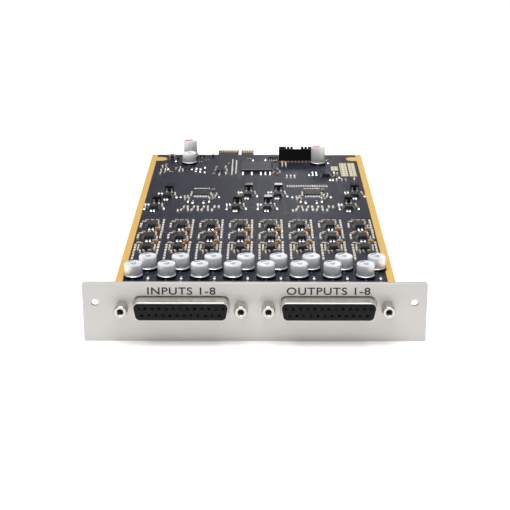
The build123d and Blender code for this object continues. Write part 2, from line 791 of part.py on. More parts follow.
back_resistors = ([(-48.8, 29.6, 90), (-46.9, 34.8, 0), (-35.6, 29.8, 80), (-33.2, 28.6, 90),
                   (-31.1, 29.8, 100), (-28.6, 26.6, 90), (-28.4, 35.6, 90), (-33.4, 33.4, 90),
                   (-31, 34.2, 90)]
                  + [(-31.6, 15.2, 0), (-27.9, 12, 20), (-45.6, 13.6, 90), (-15.2, 18.2, 60)]
                  + [(x, inset, 90) for x in (-7.4, -2.5, 2.5, 5.0, 7.5) for inset in (36.0, 39.0)]
                  + [(5.05, 11.2, 90), (-4.2, 9.2, 0), (-2, 11.6, 90)]
                  + chip_row(16.6, 41.8, 3, 2.1, 0, 90)
                  + [(28.8, 40.4, 90), (30.8, 40, 90), (32.8, 40.2, 90), (30.8, 35.8, 90),
                     (32.8, 36, 90)]
                  + [(42.6, 35.6, 90), (45, 45.2, 90), (39.8, 49.8, 90), (41.3, 50, 90)]
                  + [(40.1, 11.7, 60), (40.2, 17.4, 90)])
bus_resistors = chip_row(16.6, 61.2, 18, 1.22, 0, 90)


def from_back(spots):
    """The same spots, counted forward from the board's back edge."""
    return [(x, board_back - inset, turn) for x, inset, turn in spots]


chips(pale_chip, every_channel(channel_pale), "channel_filter_chips")
chips(ceramic, every_channel(channel_ceramics), "channel_ceramic_capacitors")
chips(resistor, every_channel(channel_resistors), "channel_resistors")
chips(tantalum, every_channel(channel_tantalums), "tantalum_capacitors")
chips(resistor, every_relay(relay_resistors), "relay_resistors")
chips(ceramic, every_relay(relay_ceramics), "relay_ceramic_capacitors")
chips(ceramic, every_converter(beside_converter), "converter_ceramic_capacitors")
chips(resistor, every_converter(lone_chips), "converter_resistors")
chips(coupling_resistor, every_converter(coupling_spots), "converter_coupling_resistors")
chips(small_resistor, every_converter(terminator_spots), "converter_terminators")
chips(pale_chip, every_converter(filter_spots), "converter_filter_chips")
chips(ceramic, from_back(back_ceramics), "supply_ceramic_capacitors")
chips(resistor, from_back(back_resistors), "supply_resistors")
chips(resistor, from_back(bus_resistors), "bus_resistors")
chips(inductor, from_back([(-47.9, 8.9, 0)]), "power_inductor")

# plated heat-spreading pads beside the regulator, a round test pad and a row of small ones
with BuildPart() as heat_pads:
    with BuildSketch(upper_face):
        with Locations((48.3, board_back - 30.2), (53.0, board_back - 30.2)):
            Rectangle(heat_pad_width, heat_pad_length)
        with Locations((43.4, board_back - 27.8)):
            Rectangle(heat_pad_width, heat_pad_short)
    extrude(amount=plating)
save(heat_pads.part, "heat_pads")

with BuildPart() as test_pads:
    with BuildSketch(upper_face):
        with Locations((14.8, board_back - 14.4)):
            Circle(test_pad)
        with Locations(*[(header_x + x, board_back - header_pad_inset) for x in pin_columns]):
            Rectangle(header_pad_width, header_pad_length)
    extrude(amount=plating)
save(test_pads.part, "test_pads")

# ---------------------------------------------------------------- power header

pin_gap_square = header_pin + 2 * header_gap
with BuildPart() as header_shroud:
    with BuildSketch(upper_face):
        with Locations((header_x, header_y)):
            Rectangle(header_length, header_depth)
    extrude(amount=header_rise)
    with BuildSketch(Plane.XY.offset(board_top + header_floor)):
        with Locations((header_x, header_y)):
            Rectangle(header_length - 2 * header_wall, header_depth - 2 * header_wall)
        with Locations((header_x, header_y + header_depth / 2)):
            Rectangle(header_key, 2 * header_wall)
    extrude(amount=header_rise - header_floor, mode=Mode.SUBTRACT)
    with BuildSketch(Plane.XY.offset(board_top + header_rise)):
        with Locations(*[(header_x + x, header_y + header_depth / 2) for x in header_slits]):
            Rectangle(header_slit, 2 * header_wall)
    extrude(amount=-header_slit_depth, mode=Mode.SUBTRACT)
    with BuildSketch(upper_face):
        with Locations(*header_spots):
            Rectangle(pin_gap_square, pin_gap_square)
    extrude(amount=header_floor, mode=Mode.SUBTRACT)
save(header_shroud.part, "header_shroud")

with BuildPart() as header_pins:
    with BuildSketch(Plane.XY.offset(board_under - header_pin_tail)):
        with Locations(*header_spots):
            Rectangle(header_pin, header_pin)
    extrude(amount=board_thickness + header_pin_tail + header_pin_top)
    chamfer(header_pins.faces().filter_by(Axis.Z).edges(), header_pin * 0.2)
save(header_pins.part, "header_pins")

# ---------------------------------------------------------------- solder on the underside

def solder_cone():
    """The fillet of solder round one pin, hollow where the pin stands in it."""
    with BuildPart() as piece:
        with BuildSketch(Plane.XY):
            Circle(tail_hole + solder_spread)
            Rectangle(tail_wire, tail_wire, mode=Mode.SUBTRACT)
        extrude(amount=-tail_reach * 0.6, taper=20)
    return piece.part


pin_spots = tail_holes + header_spots
save(copies(solder_cone(), [(x, y, board_under) for x, y in pin_spots]), "solder_joints")
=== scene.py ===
import math
import random

import bmesh
import bpy
from mathutils import Matrix, Vector


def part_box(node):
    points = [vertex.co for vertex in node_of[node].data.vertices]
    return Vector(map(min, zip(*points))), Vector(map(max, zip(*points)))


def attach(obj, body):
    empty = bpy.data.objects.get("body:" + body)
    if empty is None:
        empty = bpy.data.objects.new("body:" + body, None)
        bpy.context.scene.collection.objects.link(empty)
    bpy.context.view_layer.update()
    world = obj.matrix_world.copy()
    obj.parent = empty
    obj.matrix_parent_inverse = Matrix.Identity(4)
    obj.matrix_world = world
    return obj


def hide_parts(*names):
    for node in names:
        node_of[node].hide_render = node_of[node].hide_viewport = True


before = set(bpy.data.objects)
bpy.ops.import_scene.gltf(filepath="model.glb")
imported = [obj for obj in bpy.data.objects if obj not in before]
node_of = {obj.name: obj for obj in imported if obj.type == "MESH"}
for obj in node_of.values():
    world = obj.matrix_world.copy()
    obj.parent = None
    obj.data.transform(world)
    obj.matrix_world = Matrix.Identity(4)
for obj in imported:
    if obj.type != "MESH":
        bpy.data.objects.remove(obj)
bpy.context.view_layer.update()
mm = 0.001

# ------------------------------------------------------------------ floor, light, camera
# A plain pale studio floor level with the panel's lower edge. Soft lights stand overhead, at
# the sides and in front, a small one behind, and a broad ceiling glow fills the shadows. The
# camera looks down along the card from the front.

panel_low, panel_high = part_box("front_panel")
floor_radius = 7.0


class Signal:
    """A socket of a material's nodes, so that shader maths reads as an expression."""

    def __init__(self, tree, socket=None):
        self.tree = tree
        self.socket = socket

    def node(self, kind, settings=None, inputs=None, output=0):
        """Any node: its settings first, then the values or links of its sockets."""
        made = self.tree.nodes.new(kind)
        for name, value in (settings or {}).items():
            if name == "stops":
                for stop, (place, colour) in zip(made.color_ramp.elements, value):
                    stop.position, stop.color = place, colour
            else:
                setattr(made, name, value)
        for name, value in (inputs or {}).items():
            if isinstance(value, Signal):
                self.tree.links.new(value.socket, made.inputs[name])
            else:
                made.inputs[name].default_value = value
        return Signal(self.tree, made.outputs[output])

    def maths(self, operation, *values):
        return self.node("ShaderNodeMath", {"operation": operation}, dict(enumerate(values)))

    def __add__(self, other):
        return self.maths("ADD", self, other)

    def __radd__(self, other):
        return self.maths("ADD", other, self)

    def __mul__(self, other):
        return self.maths("MULTIPLY", self, other)

    def __lt__(self, other):
        return self.maths("LESS_THAN", self, other)

    def part(self, axis):
        """One of a vector's three numbers: 0, 1 or 2."""
        return self.node("ShaderNodeSeparateXYZ", None, {0: self}, axis)

    def stretched(self, x, y, z):
        """This place with each axis scaled by itself."""
        return self.node("ShaderNodeMapping", None, {"Vector": self, "Scale": (x, y, z)})

    def noise(self, per_metre, detail=3.0, rough=0.55):
        """Cloudy noise about one half, with this many features to the metre."""
        sizes = {"Vector": self, "Scale": per_metre, "Detail": detail, "Roughness": rough}
        return self.node("ShaderNodeTexNoise", None, sizes)

    def mixed(self, low, high):
        """From one colour to another as this value goes from 0 to 1."""
        return self.node("ShaderNodeMix", {"data_type": "RGBA"}, {0: self, 6: low, 7: high}, 2)


class Finish:
    """One material: constants on the shader's own sockets, and what varies driven by signals."""

    def __init__(self, name, colour, **constants):
        self.material = bpy.data.materials.new(name)
        self.material.use_nodes = True
        tree = self.material.node_tree
        self.shader = tree.nodes["Principled BSDF"]
        self.shader.inputs["Base Color"].default_value = (*colour, 1)
        for socket, value in constants.items():
            self.shader.inputs[socket.replace("_", " ")].default_value = value
        self.place = Signal(tree).node("ShaderNodeTexCoord", output="Object")

    def drive(self, socket, signal):
        self.place.tree.links.new(signal.socket, self.shader.inputs[socket])

    def bump(self, height, depth, strength):
        """Surface relief: depth is in metres for a height that goes from 0 to 1."""
        sizes = {"Height": height, "Distance": depth, "Strength": strength}
        self.drive("Normal", self.place.node("ShaderNodeBump", None, sizes))

    def on(self, *pieces):
        for piece in pieces:
            piece.data.materials.clear()
            piece.data.materials.append(self.material)


def shade(value):
    """A plain grey as a colour socket wants it."""
    return (value, value, value, 1)


def piece_from(mesh, name, finish, slot, *stands_for):
    """Make a bmesh into a piece that rides with the card."""
    data = bpy.data.meshes.new(name)
    mesh.to_mesh(data)
    mesh.free()
    piece = bpy.data.objects.new(name, data)
    bpy.context.scene.collection.objects.link(piece)
    finish.on(piece)
    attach(piece, "root")
    if stands_for:
        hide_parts(*stands_for)
    return piece


def smooth(piece, degrees=35):
    """Smooth shading, except across edges sharper than this."""
    piece.data.shade_smooth()
    piece.data.set_sharp_from_angle(angle=math.radians(degrees))


floor_mesh = bmesh.new()
bmesh.ops.create_circle(floor_mesh, cap_ends=True, segments=96, radius=floor_radius,
                        matrix=Matrix.Translation((0, 0, panel_low.z)))
floor = bpy.data.objects.new("studio_floor", bpy.data.meshes.new("studio_floor"))
floor_mesh.to_mesh(floor.data)
floor_mesh.free()
bpy.context.scene.collection.objects.link(floor)
floor_finish = Finish("pale_floor", (0.93, 0.93, 0.93), Roughness=0.9)
floor_tone = floor_finish.place.noise(3.0)
floor_finish.drive("Base Color", floor_tone.mixed(shade(0.92), shade(0.95)))
floor_finish.on(floor)


def softbox(name, place, aim, size, power):
    """A rectangular soft light at a place, turned to face another."""
    light = bpy.data.lights.new(name, "AREA")
    light.shape = "RECTANGLE"
    light.size, light.size_y = size
    light.energy = power
    lamp = bpy.data.objects.new(name, light)
    lamp.location = place
    lamp.rotation_euler = (Vector(aim) - Vector(place)).to_track_quat("-Z", "Y").to_euler()
    bpy.context.scene.collection.objects.link(lamp)


card_middle = (0, 0.12, 0)
softbox("overhead_light", (0, 0.1, 0.9), card_middle, (0.7, 0.5), 4.5)
softbox("left_light", (-0.8, -0.1, 0.4), card_middle, (0.4, 0.7), 0.6)
softbox("right_light", (0.8, -0.1, 0.4), card_middle, (0.4, 0.7), 0.6)
softbox("front_light", (0, -0.8, 0.6), (0, 0, 0), (1.0, 0.3), 1.3)
softbox("back_light", (0.05, 1.6, 0.43), (0, 0.17, 0), (0.12, 0.14), 0.3)

ceiling = bpy.data.lights.new("ceiling_light", "SUN")
ceiling.energy = 2.3
ceiling.angle = math.radians(45)
ceiling_lamp = bpy.data.objects.new("ceiling_light", ceiling)
ceiling_lamp.rotation_euler = (math.radians(14), math.radians(-6), 0)
bpy.context.scene.collection.objects.link(ceiling_lamp)

world = bpy.data.worlds.new("studio")
world.use_nodes = True
sky = world.node_tree
seen = Signal(sky).node("ShaderNodeLightPath", output="Is Camera Ray")
sky.links.new(seen.mixed(shade(0.2), shade(0.97)).socket, sky.nodes["Background"].inputs["Color"])
sky.nodes["Background"].inputs["Strength"].default_value = 1.0
bpy.context.scene.world = world
bpy.context.scene.view_settings.view_transform = "Standard"

camera_place = (2.0 * mm, -453.1 * mm, 188.6 * mm)
camera_tilt = 20.4
camera_turn = 0.24
camera_lens = 88.0
camera_data = bpy.data.cameras.new("camera")
camera_data.lens = camera_lens
camera_data.sensor_width = 36.0
camera_data.clip_start = 0.01
camera_data.clip_end = 50.0
camera = bpy.data.objects.new("camera", camera_data)
camera.location = camera_place
camera.rotation_euler = (math.radians(90 - camera_tilt), 0, math.radians(camera_turn))
bpy.context.scene.collection.objects.link(camera)
bpy.context.scene.camera = camera

# ------------------------------------------------------------------ front panel
# One strip of aluminium, cut and drilled, its edges broken by hand-deburring, then satin
# anodised. It is held by the jackscrews.

anodised = Finish("satin_anodised", (0.56, 0.54, 0.52), Metallic=0.45, Roughness=0.42)
grain = anodised.place.stretched(0.06, 1, 1).noise(9000, 4)
cloud = anodised.place.noise(60, 2)
anodised_tone = grain * 0.5 + cloud * 0.5
anodised.drive("Base Color", anodised_tone.mixed((0.545, 0.525, 0.505, 1), (0.60, 0.578, 0.558, 1)))
anodised.drive("Roughness", 0.36 + grain * 0.12)
anodised.bump(grain, 0.00001, 0.5)


def deburred(node, finish, slot, width):
    """A copy of a CAD node with its triangles merged and its sharp edges broken."""
    mesh = bmesh.new()
    mesh.from_mesh(node_of[node].data)
    bmesh.ops.remove_doubles(mesh, verts=mesh.verts, dist=1e-6)
    bmesh.ops.dissolve_limit(mesh, angle_limit=math.radians(1), verts=mesh.verts, edges=mesh.edges)
    piece = piece_from(mesh, node + "_deburred", finish, slot, node)
    edge = piece.modifiers.new("broken_edges", "BEVEL")
    edge.width = width
    edge.segments = 2
    edge.limit_method = "ANGLE"
    edge.angle_limit = math.radians(40)
    smooth(piece, 30)


deburred("front_panel", anodised, "panel_anodised", 0.12 * mm)

# printed legends, plain capitals in dark ink above each socket
legend_ink = Finish("legend_ink", (0.012, 0.012, 0.014), Roughness=0.6)
ink_body = legend_ink.place.noise(5000)
legend_ink.drive("Base Color", ink_body.mixed(shade(0.008), shade(0.018)))
legend_size = 4.3 * mm
legend_lift = 0.02 * mm
legend_spread = 1.18
legend_weight = 0.07 * mm
legend_height = panel_high.z - 4.9 * mm


def legend(words, node):
    """Raised ink in the shape of these words, centred over a socket."""
    low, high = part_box(node)
    curve = bpy.data.curves.new(node + "_words", "FONT")
    curve.body = words
    curve.size = legend_size
    curve.align_x = "CENTER"
    curve.space_character = 1.1
    curve.offset = legend_weight
    curve.extrude = legend_lift / 2
    carrier = bpy.data.objects.new("carrier", curve)
    flat = bpy.data.meshes.new_from_object(carrier)
    bpy.data.objects.remove(carrier)
    place = Matrix.Translation(((low.x + high.x) / 2, -legend_lift / 2, legend_height))
    flat.transform(place @ Matrix.Rotation(math.pi / 2, 4, "X") @ Matrix.Scale(legend_spread, 4, (1, 0, 0)))
    mesh = bmesh.new()
    mesh.from_mesh(flat)
    return piece_from(mesh, node.replace("socket_shell", "legend"), legend_ink, "panel_anodised")


legend("INPUTS 1-8", "input_socket_shell")
legend("OUTPUTS 1-8", "output_socket_shell")

# ------------------------------------------------------------------ 25-way sockets
# Nickel-plated drawn steel shells round black moulded insulators, with gold-plated turned
# contacts. Steel brackets behind take the jackscrews and lock into the board.

nickel = Finish("nickel_plate", (0.62, 0.61, 0.57), Metallic=0.85, Roughness=0.32)
nickel_cloud = nickel.place.noise(300, 3)
nickel.drive("Roughness", 0.28 + nickel_cloud * 0.12)
nickel.bump(nickel_cloud, 0.000004, 0.3)

black_resin = Finish("black_moulding", (0.006, 0.006, 0.007), Roughness=0.42,
                     Specular_IOR_Level=0.16)
resin_grain = black_resin.place.noise(6000, 3)
black_resin.drive("Roughness", 0.36 + resin_grain * 0.16)
black_resin.bump(resin_grain, 0.00001, 0.5)

gold = Finish("gold_plate", (0.93, 0.62, 0.22), Metallic=1.0, Roughness=0.28)
gold_cloud = gold.place.noise(900, 3)
gold.drive("Base Color", gold_cloud.mixed((0.88, 0.56, 0.18, 1), (0.97, 0.68, 0.28, 1)))
gold.drive("Roughness", 0.22 + gold_cloud * 0.2)

pale_gold = Finish("worn_contact_gold", (0.80, 0.70, 0.48), Metallic=1.0, Roughness=0.22)
pale_gold.drive("Roughness", 0.16 + pale_gold.place.noise(2500, 3) * 0.16)

bracket_tin = Finish("tinned_steel", (0.58, 0.57, 0.55), Metallic=1.0, Roughness=0.34)
bracket_grain = bracket_tin.place.stretched(1, 1, 0.1).noise(5000, 3)
bracket_tin.drive("Roughness", 0.28 + bracket_grain * 0.18)
bracket_tin.bump(bracket_grain, 0.000005, 0.5)

for side in ("input", "output"):
    nickel.on(node_of[side + "_socket_shell"])
    deburred(side + "_socket_insulator", black_resin, "black_moulding", 0.14 * mm)
    pale_gold.on(node_of[side + "_socket_contacts"])
    bracket_tin.on(node_of[side + "_socket_brackets"])

# ------------------------------------------------------------------ jackscrews
# Turned from hexagonal bar and nickel plated, threaded inside for the cable's thumbscrews.
# Their studs run through the panel and the bracket nuts.

bright_nickel = Finish("turned_nickel", (0.60, 0.585, 0.55), Metallic=1.0, Roughness=0.24)
turning = bright_nickel.place.noise(2600, 3)
bright_nickel.drive("Roughness", 0.2 + turning * 0.12)
bright_nickel.bump(turning, 0.000003, 0.5)
bright_nickel.on(node_of["jackscrews"])


def solids_of(node):
    """The corner points of each separate solid in a CAD node."""
    mesh = bmesh.new()
    mesh.from_mesh(node_of[node].data)
    bmesh.ops.remove_doubles(mesh, verts=mesh.verts, dist=1e-6)
    unseen = set(mesh.verts)
    found = []
    while unseen:
        reach = [unseen.pop()]
        corners = []
        while reach:
            corner = reach.pop()
            corners.append(corner.co.copy())
            for edge in corner.link_edges:
                other = edge.other_vert(corner)
                if other in unseen:
                    unseen.remove(other)
                    reach.append(other)
        found.append(corners)
    mesh.free()
    return sorted(found, key=lambda points: [round(v, 5) for v in sum(points, Vector()) / len(points)])


def middle_of(points):
    """The middle of the box round these points."""
    return Vector([(min(p[i] for p in points) + max(p[i] for p in points)) / 2 for i in range(3)])


thread_pitch = 0.635 * mm
thread_turns = 7
thread_start = 0.3 * mm
thread_root = 1.2 * mm
thread_crest = 1.06 * mm
thread_dark = Finish("thread_shadow", (0.35, 0.35, 0.34), Metallic=1.0, Roughness=0.35)
thread_dark.drive("Roughness", 0.3 + thread_dark.place.noise(3000) * 0.2)
threads = bmesh.new()
screw_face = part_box("jackscrews")[0].y
for screw in solids_of("jackscrews"):
    centre = middle_of(screw)
    profile = []
    for turn in range(thread_turns):
        start = screw_face + thread_start + turn * thread_pitch
        profile.append(threads.verts.new((centre.x + thread_root, start, centre.z)))
        profile.append(threads.verts.new((centre.x + thread_crest, start + thread_pitch / 2, centre.z)))
    profile.append(threads.verts.new((centre.x + thread_root, start + thread_pitch, centre.z)))
    runs = [threads.edges.new(pair) for pair in zip(profile, profile[1:])]
    bmesh.ops.spin(threads, geom=profile + runs, cent=centre, axis=(0, 1, 0), angle=math.tau,
                   steps=20, use_merge=True)
bmesh.ops.remove_doubles(threads, verts=threads.verts, dist=1e-7)
bmesh.ops.recalc_face_normals(threads, faces=threads.faces)
bmesh.ops.reverse_faces(threads, faces=threads.faces)
smooth(piece_from(threads, "jackscrew_threads", thread_dark, "jackscrew_nickel"), 20)

# ------------------------------------------------------------------ circuit board
# Glass-epoxy laminate under black solder mask, with copper tracks that show as faint
# raised lines. Its long edges are bare plated strips that slide in card guides.

mask = Finish("black_solder_mask", (0.03, 0.032, 0.047), Roughness=0.4)
weave = mask.place.noise(2500, 4)
patches = mask.place.noise(45, 3)
mask_tone = weave * 0.35 + patches * 0.65
mask.drive("Base Color", mask_tone.mixed((0.006, 0.007, 0.014, 1), (0.013, 0.016, 0.031, 1)))
mask.drive("Roughness", 0.34 + weave * 0.16)
mask.bump(weave, 0.000012, 0.4)
mask.on(node_of["circuit_board"])
gold.on(node_of["edge_fingers"])
copper = Finish("bare_copper", (0.62, 0.30, 0.12), Metallic=0.6, Roughness=0.36)
copper.drive("Base Color", copper.place.noise(900).mixed((0.50, 0.22, 0.08, 1), (0.74, 0.38, 0.16, 1)))
copper.on(node_of["test_pads"])
strip_gold = Finish("satin_gold", (0.76, 0.48, 0.13), Metallic=0.3, Roughness=0.38)
wear = strip_gold.place.stretched(1, 0.05, 1).noise(1800, 4)
strip_gold.drive("Base Color", wear.mixed((0.71, 0.41, 0.09, 1), (0.81, 0.55, 0.17, 1)))
strip_gold.drive("Roughness", 0.34 + wear * 0.12)
strip_gold.on(node_of["edge_plating"])

# the heat pads are tinned copper crossed by a grid of mask
grid_gold = Finish("gridded_copper", (0.70, 0.62, 0.42), Metallic=0.3, Roughness=0.4)
grid_length = 3.6 * mm
grid_width = 1.95 * mm
along = grid_gold.place.part(1) * (1 / grid_length)
beside = grid_gold.place.part(0) * (1 / grid_width)
bar_along = along.maths("FRACT", along) < 0.16
bar_beside = beside.maths("FRACT", beside) < 0.2
tarnish = grid_gold.place.noise(1500, 3)
pad_tone = tarnish.mixed((0.62, 0.54, 0.36, 1), (0.80, 0.74, 0.54, 1))
bars = bar_along.maths("MAXIMUM", bar_along, bar_beside)
grid_gold.drive("Base Color", grid_gold.place.node("ShaderNodeMix", {"data_type": "RGBA"},
                {0: bars, 6: pad_tone, 7: (0.34, 0.30, 0.19, 1)}, 2))
grid_gold.drive("Roughness", 0.34 + tarnish * 0.16)
grid_gold.on(node_of["heat_pads"])

# tracks under the mask, in bundles that run back along the card and jog sideways
track_finish = Finish("masked_track", (0.05, 0.052, 0.075), Roughness=0.38)
track_tone = track_finish.place.noise(400, 3)
track_finish.drive("Base Color", track_tone.mixed((0.018, 0.019, 0.029, 1), (0.036, 0.038, 0.055, 1)))
via_finish = Finish("tented_via", (0.30, 0.22, 0.12), Metallic=0.8, Roughness=0.4)
via_tone = via_finish.place.noise(900)
via_finish.drive("Base Color", via_tone.mixed((0.16, 0.13, 0.09, 1), (0.42, 0.30, 0.16, 1)))
track_height = 0.02 * mm
track_width = 0.22 * mm
via_radius = 0.28 * mm
board_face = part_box("circuit_board")[1].z


def strip(mesh, start, end):
    """One straight run of raised track between two points on the board."""
    run = Vector(end) - Vector(start)
    middle = (Vector(start) + Vector(end)) / 2
    place = Matrix.Translation((middle.x, middle.y, board_face + track_height / 2))
    turn = Matrix.Rotation(math.atan2(run.y, run.x), 4, "Z")
    size = Matrix.Diagonal((run.length + track_width, track_width, track_height, 1))
    bmesh.ops.create_cube(mesh, size=1, matrix=place @ turn @ size)


chance = random.Random(7)
tracks, vias = bmesh.new(), bmesh.new()
bundle_pitch = 0.5 * mm
bundle_count = 34
for _ in range(bundle_count):
    x = chance.uniform(-52, 52) * mm
    y = chance.uniform(24, 205) * mm
    jog = chance.choice((-1, 1)) * chance.uniform(2, 7) * mm
    first, last = chance.uniform(6, 22) * mm, chance.uniform(6, 20) * mm
    for lane in range(chance.randint(2, 5)):
        shift = lane * bundle_pitch
        turn_y = y + first - math.copysign(shift, jog)
        corners = [(x + shift, y), (x + shift, turn_y), (x + shift + jog, turn_y + abs(jog)),
                   (x + shift + jog, y + first + abs(jog) + last)]
        for start, end in zip(corners, corners[1:]):
            strip(tracks, start, end)
        for spot in (corners[0], corners[-1]):
            bmesh.ops.create_cone(vias, cap_ends=True, segments=10, radius1=via_radius,
                                  radius2=via_radius * 0.8, depth=track_height,
                                  matrix=Matrix.Translation((*spot, board_face + track_height)))
piece_from(tracks, "board_tracks", track_finish, "board_mask")
piece_from(vias, "board_vias", via_finish, "gold_plating")

# ------------------------------------------------------------------ electrolytic capacitors
# Drawn aluminium cans, crimped over a rubber bung and set in black bases: clear-coated for
# coupling, white-coated for the supply. A printed segment marks one side of each lid.

can_metal = Finish("coated_aluminium", (0.90, 0.92, 0.95), Metallic=0.4, Roughness=0.3,
                   Coat_Weight=0.35)
drawn = can_metal.place.stretched(1, 1, 0.08).noise(2500, 3)
can_metal.drive("Roughness", 0.31 + drawn * 0.1)
can_metal.bump(drawn, 0.000003, 0.4)
white_can = Finish("white_coated_can", (0.86, 0.86, 0.87), Metallic=0.25, Roughness=0.38, Coat_Weight=0.2)
coat_cloud = white_can.place.noise(700, 3)
white_can.drive("Roughness", 0.34 + coat_cloud * 0.1)
rim = 0.5 * mm


def can_outline(radius, bottom, top):
    """Half of a can's section, from the crimped foot up to the middle of its lid."""
    waist, side = radius - 0.4 * mm, radius - 0.1 * mm
    return [(radius - 0.7 * mm, bottom), (radius - 0.12 * mm, bottom), (radius, bottom + 0.15 * mm),
            (radius, bottom + 0.4 * mm), (waist, bottom + 0.75 * mm), (waist, bottom + 1.0 * mm),
            (side, bottom + 1.45 * mm), (side, top - rim), (side - rim * 0.13, top - rim * 0.5),
            (radius - rim * 0.5, top - rim * 0.13), (radius - rim, top), (radius - rim * 1.5, top),
            (radius - rim * 1.8, top - 0.05 * mm), (0, top - 0.05 * mm)]


def cans(node, name, finish):
    """Spun cans standing where the CAD cans are."""
    mesh = bmesh.new()
    for points in solids_of(node):
        centre = middle_of(points)
        radius = max(p.x for p in points) - centre.x
        bottom, top = min(p.z for p in points), max(p.z for p in points)
        ring = [mesh.verts.new((centre.x + r, centre.y, z)) for r, z in can_outline(radius, bottom, top)]
        runs = [mesh.edges.new(pair) for pair in zip(ring, ring[1:])]
        bmesh.ops.spin(mesh, geom=ring + runs, cent=centre, axis=(0, 0, 1), angle=math.tau,
                       steps=40, use_merge=True)
    bmesh.ops.remove_doubles(mesh, verts=mesh.verts, dist=1e-7)
    bmesh.ops.recalc_face_normals(mesh, faces=mesh.faces)
    smooth(piece_from(mesh, name, finish, "capacitor_aluminium", node), 40)


cans("coupling_capacitor_cans", "coupling_cans_spun", can_metal)
cans("tall_supply_capacitor_cans", "tall_supply_cans_spun", white_can)
cans("short_supply_capacitor_can", "short_supply_can_spun", white_can)
black_resin.on(node_of["coupling_capacitor_bases"], node_of["supply_capacitor_bases"])

can_ink = Finish("can_ink", (0.05, 0.055, 0.07), Roughness=0.5)
can_ink.drive("Base Color", can_ink.place.noise(4000).mixed((0.035, 0.04, 0.05, 1), (0.10, 0.11, 0.13, 1)))
red_ink = Finish("red_can_ink", (0.62, 0.03, 0.10), Roughness=0.5)
red_ink.drive("Base Color", red_ink.place.noise(4000).mixed((0.50, 0.02, 0.07, 1), (0.70, 0.05, 0.13, 1)))


mark_inset = rim * 1.9
mark_drop = 0.04 * mm
bar_width = 0.5 * mm
long_bar = 2.6 * mm
short_bar = 1.8 * mm
bar_step = 1.1 * mm


def marks(node, name, ink, turn, chord):
    """The printed segment at one side of each can's lid, and two short bars beside it."""
    mesh = bmesh.new()
    for points in solids_of(node):
        centre = middle_of(points)
        radius = max(p.x for p in points) - centre.x - mark_inset
        top = max(p.z for p in points) - mark_drop
        made = bmesh.ops.create_circle(mesh, cap_ends=True, segments=40, radius=radius)
        near = made["verts"] + list({e for v in made["verts"] for e in v.link_edges})
        near += list({f for v in made["verts"] for f in v.link_faces})
        cut = bmesh.ops.bisect_plane(mesh, geom=near, plane_co=(0, radius * chord, 0),
                                     plane_no=(0, -1, 0), clear_outer=True)
        moon = list({v for v in cut["geom"] if isinstance(v, bmesh.types.BMVert) and v.is_valid})
        bar = bmesh.ops.create_grid(mesh, x_segments=1, y_segments=1, size=0.5,
                                    matrix=Matrix.Diagonal((long_bar, bar_width, 1, 1)))["verts"]
        bar += bmesh.ops.create_grid(mesh, x_segments=1, y_segments=1, size=0.5,
                                     matrix=Matrix.Translation((0, -bar_step, 0))
                                     @ Matrix.Diagonal((short_bar, bar_width, 1, 1)))["verts"]
        stand = Matrix.Translation((centre.x, centre.y, top))
        place = stand @ Matrix.Rotation(math.radians(turn), 4, "Z")
        bmesh.ops.transform(mesh, matrix=place, verts=moon + bar)
    piece_from(mesh, name, ink, "capacitor_aluminium")


marks("coupling_capacitor_cans", "coupling_can_marks", can_ink, 28, 0.72)
marks("tall_supply_capacitor_cans", "tall_can_marks", red_ink, 150, 0.35)
marks("short_supply_capacitor_can", "short_can_marks", can_ink, 28, 0.72)

# ------------------------------------------------------------------ leaded chips
# Moulded epoxy bodies on bent tinned leads, each lead in a small wet-looking fillet of
# solder. The photorelays are a glossier moulding, and the control chip stands on balls.

epoxy = Finish("chip_epoxy", (0.02, 0.02, 0.022), Roughness=0.36)
epoxy_grain = epoxy.place.noise(7000, 3)
epoxy.drive("Base Color", epoxy_grain.mixed((0.012, 0.012, 0.014, 1), (0.03, 0.03, 0.033, 1)))
epoxy.drive("Roughness", 0.32 + epoxy_grain * 0.16)
epoxy.bump(epoxy_grain, 0.000012, 0.5)
relay_epoxy = Finish("relay_epoxy", (0.006, 0.006, 0.007), Roughness=0.16)
relay_grain = relay_epoxy.place.noise(6000, 3)
relay_epoxy.drive("Roughness", 0.12 + relay_grain * 0.1)
relay_epoxy.bump(relay_grain, 0.000003, 0.2)
tin = Finish("tinned_lead", (0.58, 0.58, 0.57), Metallic=1.0, Roughness=0.3)
tin_cloud = tin.place.noise(3000, 3)
tin.drive("Roughness", 0.24 + tin_cloud * 0.18)
tin.bump(tin_cloud, 0.000006, 0.5)

chip_nodes = ["preamp_chips", "gain_switch_chips", "line_driver_chips", "relay_driver_chips",
              "converter_chips", "memory_chip", "regulator_chip", "control_chip", "transistors"]
lead_nodes = ["preamp_leads", "gain_switch_leads", "line_driver_leads", "relay_driver_leads",
              "photorelay_leads", "converter_leads", "memory_chip_leads", "regulator_leads",
              "transistor_leads", "coupling_capacitor_leads", "supply_capacitor_leads"]
epoxy.on(*[node_of[name] for name in chip_nodes])
relay_epoxy.on(node_of["photorelays"])
tin.on(*[node_of[name] for name in lead_nodes], node_of["solder_joints"],
       node_of["control_chip_balls"])

solder = bmesh.new()
solder_metal = Finish("reflowed_solder", (0.50, 0.49, 0.47), Metallic=1.0, Roughness=0.26)
solder_cloud = solder_metal.place.noise(2500, 3)
solder_metal.drive("Roughness", 0.2 + solder_cloud * 0.2)
solder_metal.bump(solder_cloud, 0.000008, 0.6)
pad_height = 0.04 * mm
pad_reach = 0.3 * mm
pad_margin = 0.12 * mm
lead_fillet_reach = 0.28 * mm
lead_fillet_height = 0.16 * mm


def block(mesh, place, x, z, length, width, height):
    """A box standing at z on a chip's own long axis, placed on the board."""
    size = Matrix.Diagonal((length, width, height, 1))
    shift = Matrix.Translation((x, 0, z + height / 2))
    bmesh.ops.create_cube(mesh, size=1, matrix=place @ shift @ size)


